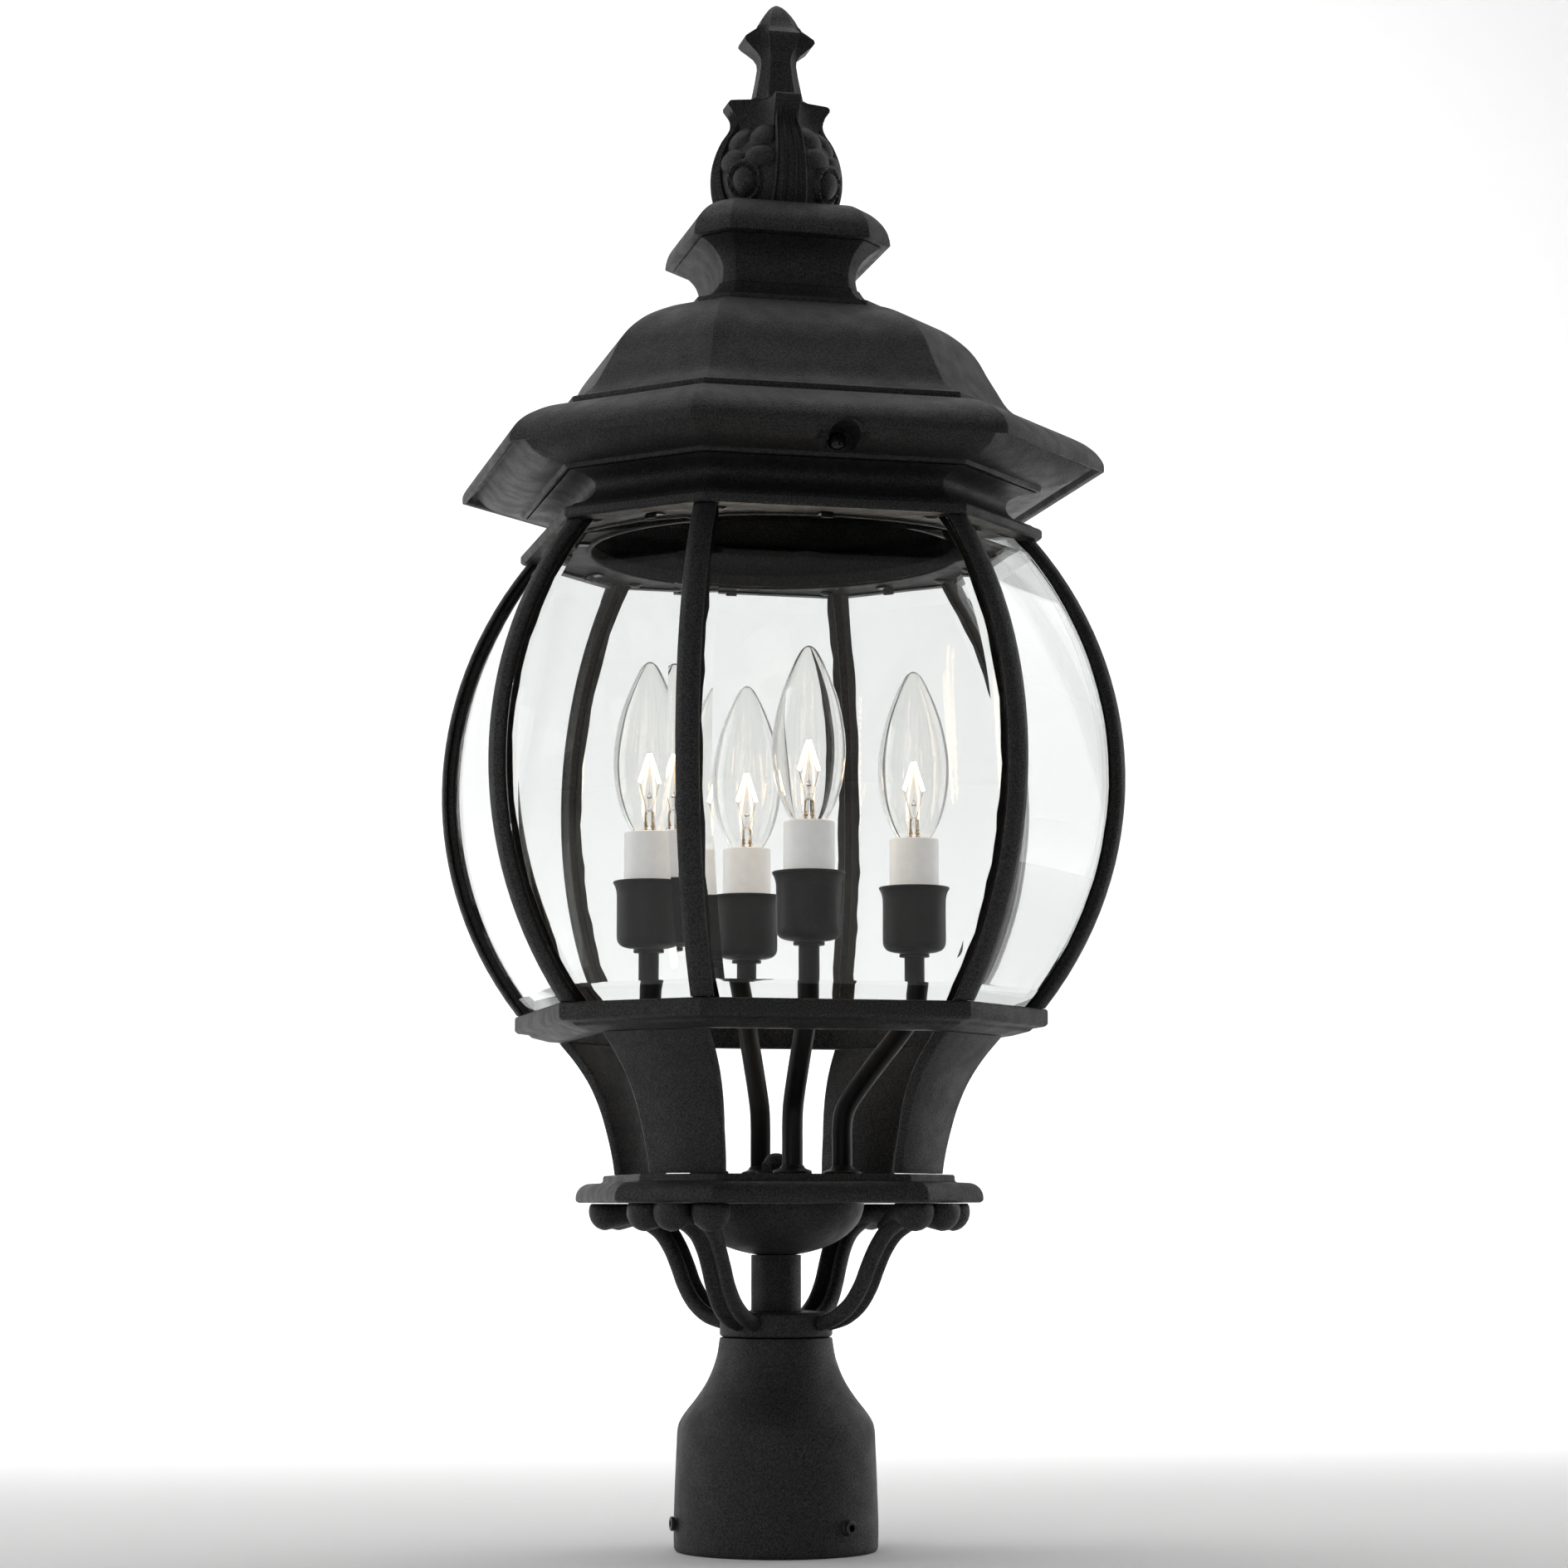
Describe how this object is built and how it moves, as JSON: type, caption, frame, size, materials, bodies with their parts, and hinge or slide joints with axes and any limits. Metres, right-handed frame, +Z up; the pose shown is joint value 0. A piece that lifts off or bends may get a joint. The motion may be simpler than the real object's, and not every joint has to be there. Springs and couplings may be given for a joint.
{
  "type": "post-top lantern",
  "caption": "Octagonal post-top lantern: cast domed roof with finial, bulging cage of bent clear glass, candle lamps on bent arms, and a sleeve fitter for a post.",
  "frame": {"origin": "centre of the post fitter's bottom rim", "axes": "+Z up along the post, -Y towards the front wide glass pane, +X to its right as seen from the front"},
  "size_m": [0.261, 0.261, 0.6465],
  "materials": {
    "black_coat": "fine-textured black powder coat on cast aluminium",
    "screw_steel": "black oxide",
    "clear_glass": "clear, bevelled border",
    "bulb_glass": "clear",
    "candle_white": "satin white"
  },
  "bodies": {
    "frame": {"post_fitter": "black_coat", "hub_and_stem": "black_coat", "wiring_bowl": "black_coat", "scroll_bracket_1": "black_coat", "scroll_bracket_2": "black_coat", "scroll_bracket_3": "black_coat", "scroll_bracket_4": "black_coat", "lower_plate": "black_coat", "leg_1": "black_coat", "leg_2": "black_coat", "leg_3": "black_coat", "leg_4": "black_coat", "cage_bottom_ring": "black_coat", "rib_1": "black_coat", "rib_2": "black_coat", "rib_3": "black_coat", "rib_4": "black_coat", "rib_5": "black_coat", "rib_6": "black_coat", "rib_7": "black_coat", "rib_8": "black_coat", "glass_wide_1": "clear_glass", "glass_wide_2": "clear_glass", "glass_wide_3": "clear_glass", "glass_wide_4": "clear_glass", "glass_narrow_1": "clear_glass", "glass_narrow_2": "clear_glass", "glass_narrow_3": "clear_glass", "glass_narrow_4": "clear_glass", "cage_top_plate": "black_coat", "frieze_ring": "black_coat", "roof_collar": "black_coat", "cap_nut": "black_coat", "lamp_arm_front": "black_coat", "lamp_arm_right": "black_coat", "lamp_arm_rear": "black_coat", "lamp_arm_left": "black_coat", "socket_cup_front": "black_coat", "socket_cup_right": "black_coat", "socket_cup_rear": "black_coat", "socket_cup_left": "black_coat", "candle_sleeve_front": "candle_white", "candle_sleeve_right": "candle_white", "candle_sleeve_rear": "candle_white", "candle_sleeve_left": "candle_white"},
    "roof": {"roof_eave": "black_coat", "roof_dome": "black_coat", "roof_neck": "black_coat", "roof_cap": "black_coat"},
    "finial_body": {"finial": "black_coat"},
    "roof_screw_front_body": {"roof_screw_front": "screw_steel"},
    "roof_screw_rear_body": {"roof_screw_rear": "screw_steel"},
    "bulb_front_body": {"bulb_front": "bulb_glass"},
    "bulb_right_body": {"bulb_right": "bulb_glass"},
    "bulb_rear_body": {"bulb_rear": "bulb_glass"},
    "bulb_left_body": {"bulb_left": "bulb_glass"},
    "set_screw_1_body": {"set_screw_1": "screw_steel"},
    "set_screw_2_body": {"set_screw_2": "screw_steel"},
    "set_screw_3_body": {"set_screw_3": "screw_steel"}
  },
  "joints": [
    {"name": "roof_lift", "type": "slide", "parent": "frame", "child": "roof", "axis": [0, 0, 1], "range_m": [0, 0.15]},
    {"name": "finial_turn", "type": "hinge", "parent": "roof", "child": "finial_body", "pos_m": [0, 0, 0.56], "axis": [0, 0, 1], "continuous": true},
    {"name": "roof_screw_front_travel", "type": "slide", "parent": "roof", "child": "roof_screw_front_body", "axis": [0, -1, 0], "range_m": [0, 0.006]},
    {"name": "roof_screw_rear_travel", "type": "slide", "parent": "roof", "child": "roof_screw_rear_body", "axis": [0, 1, 0], "range_m": [0, 0.006]},
    {"name": "bulb_front_lift", "type": "slide", "parent": "frame", "child": "bulb_front_body", "axis": [0, 0, 1], "range_m": [0, 0.028]},
    {"name": "bulb_right_lift", "type": "slide", "parent": "frame", "child": "bulb_right_body", "axis": [0, 0, 1], "range_m": [0, 0.028]},
    {"name": "bulb_rear_lift", "type": "slide", "parent": "frame", "child": "bulb_rear_body", "axis": [0, 0, 1], "range_m": [0, 0.028]},
    {"name": "bulb_left_lift", "type": "slide", "parent": "frame", "child": "bulb_left_body", "axis": [0, 0, 1], "range_m": [0, 0.028]},
    {"name": "set_screw_1_travel", "type": "slide", "parent": "frame", "child": "set_screw_1_body", "axis": [-1, 0, 0], "range_m": [-0.002, 0.006]},
    {"name": "set_screw_2_travel", "type": "slide", "parent": "frame", "child": "set_screw_2_body", "axis": [0.5, -0.866, 0], "range_m": [-0.002, 0.006]},
    {"name": "set_screw_3_travel", "type": "slide", "parent": "frame", "child": "set_screw_3_body", "axis": [0.5, 0.866, 0], "range_m": [-0.002, 0.006]}
  ]
}
